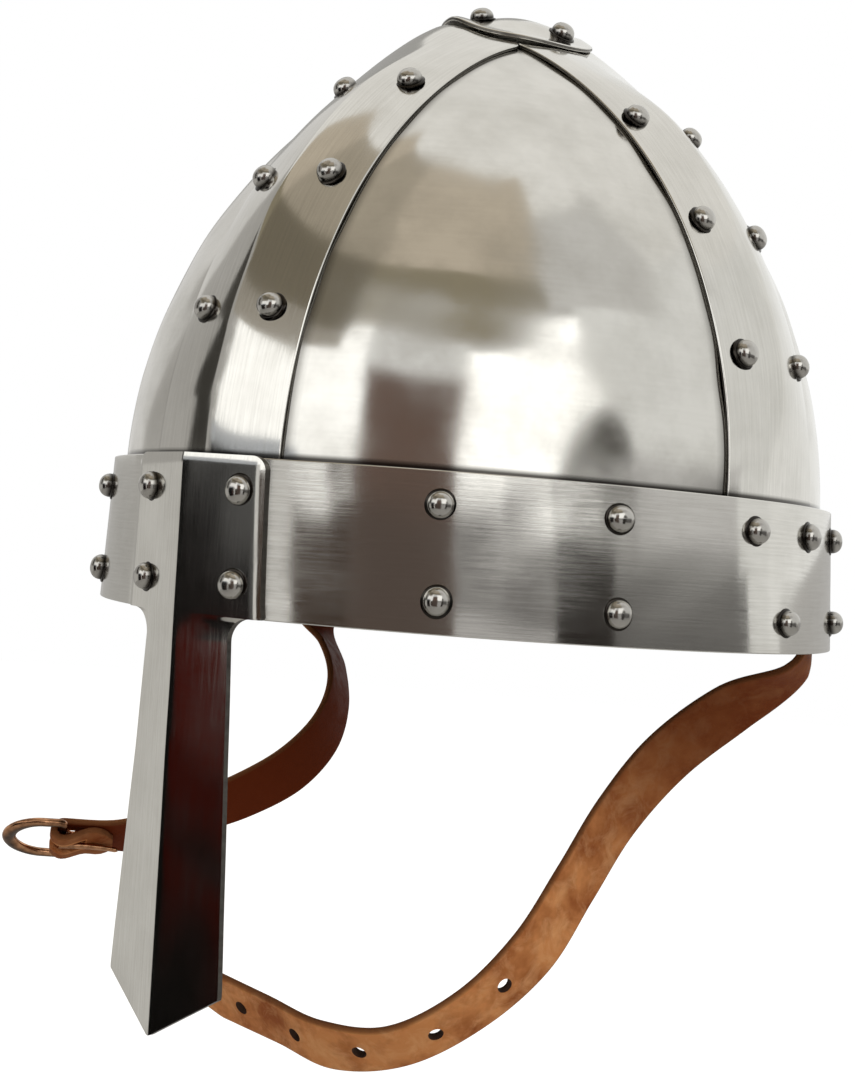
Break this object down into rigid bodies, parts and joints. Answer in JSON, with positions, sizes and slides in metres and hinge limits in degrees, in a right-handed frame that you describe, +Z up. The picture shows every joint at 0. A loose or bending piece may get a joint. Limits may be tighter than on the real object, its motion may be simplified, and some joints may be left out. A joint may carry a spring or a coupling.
{
  "type": "norman nasal helmet",
  "caption": "Riveted steel nasal helmet with a pointed skull of ridged bands and infill plates, a brow band, a flared nose guard, a crown cap and an open leather chin strap with a buckle.",
  "frame": {"origin": "middle of the head opening in the plane of the rim, where the helmet sits on a head", "axes": "+Z up through the crown, -Y ahead of the wearer where the nasal is, +X to the wearer's left"},
  "size_m": [0.2304, 0.2372, 0.3119],
  "materials": {
    "polished_steel": "polished, softly mottled",
    "rivet_steel": "polished",
    "tan_leather": "plain tan, worn",
    "aged_copper_brass": "aged"
  },
  "bodies": {
    "helmet": {"plate_front_to_left": "polished_steel", "plate_left_to_back": "polished_steel", "plate_back_to_right": "polished_steel", "plate_right_to_front": "polished_steel", "band_front": "polished_steel", "band_left": "polished_steel", "band_back": "polished_steel", "band_right": "polished_steel", "brow_band": "polished_steel", "nasal": "polished_steel", "crown_cap": "polished_steel", "rivet_brow_left_35_upper": "rivet_steel", "rivet_brow_left_35_lower": "rivet_steel", "rivet_brow_left_59_upper": "rivet_steel", "rivet_brow_left_59_lower": "rivet_steel", "rivet_brow_left_112_upper": "rivet_steel", "rivet_brow_left_112_lower": "rivet_steel", "rivet_brow_left_146_upper": "rivet_steel", "rivet_brow_left_146_lower": "rivet_steel", "rivet_brow_right_35_upper": "rivet_steel", "rivet_brow_right_35_lower": "rivet_steel", "rivet_brow_right_59_upper": "rivet_steel", "rivet_brow_right_59_lower": "rivet_steel", "rivet_brow_right_112_upper": "rivet_steel", "rivet_brow_right_112_lower": "rivet_steel", "rivet_brow_right_146_upper": "rivet_steel", "rivet_brow_right_146_lower": "rivet_steel", "rivet_brow_left_fore": "rivet_steel", "rivet_brow_left_aft": "rivet_steel", "rivet_brow_left_low": "rivet_steel", "rivet_brow_back_fore": "rivet_steel", "rivet_brow_back_aft": "rivet_steel", "rivet_brow_back_low": "rivet_steel", "rivet_brow_right_fore": "rivet_steel", "rivet_brow_right_aft": "rivet_steel", "rivet_brow_right_low": "rivet_steel", "rivet_nasal_left_upper": "rivet_steel", "rivet_nasal_left_lower": "rivet_steel", "rivet_nasal_right_upper": "rivet_steel", "rivet_nasal_right_lower": "rivet_steel", "rivet_crown_front": "rivet_steel", "rivet_crown_left": "rivet_steel", "rivet_crown_back": "rivet_steel", "rivet_crown_right": "rivet_steel", "strap_left": "tan_leather", "strap_right": "tan_leather"},
    "buckle_frame": {"buckle_frame": "aged_copper_brass"},
    "buckle_tongue": {"buckle_tongue": "aged_copper_brass"}
  },
  "joints": [
    {"name": "buckle_frame_turn", "type": "hinge", "parent": "helmet", "child": "buckle_frame", "pos_m": [-0.10516, -0.05921, -0.07827], "axis": [-0.6032, 0.5001, -0.6213], "range_deg": [-40, 75]},
    {"name": "buckle_tongue_turn", "type": "hinge", "parent": "helmet", "child": "buckle_tongue", "pos_m": [-0.10516, -0.05921, -0.07827], "axis": [-0.6032, 0.5001, -0.6213], "range_deg": [0, 158]}
  ]
}
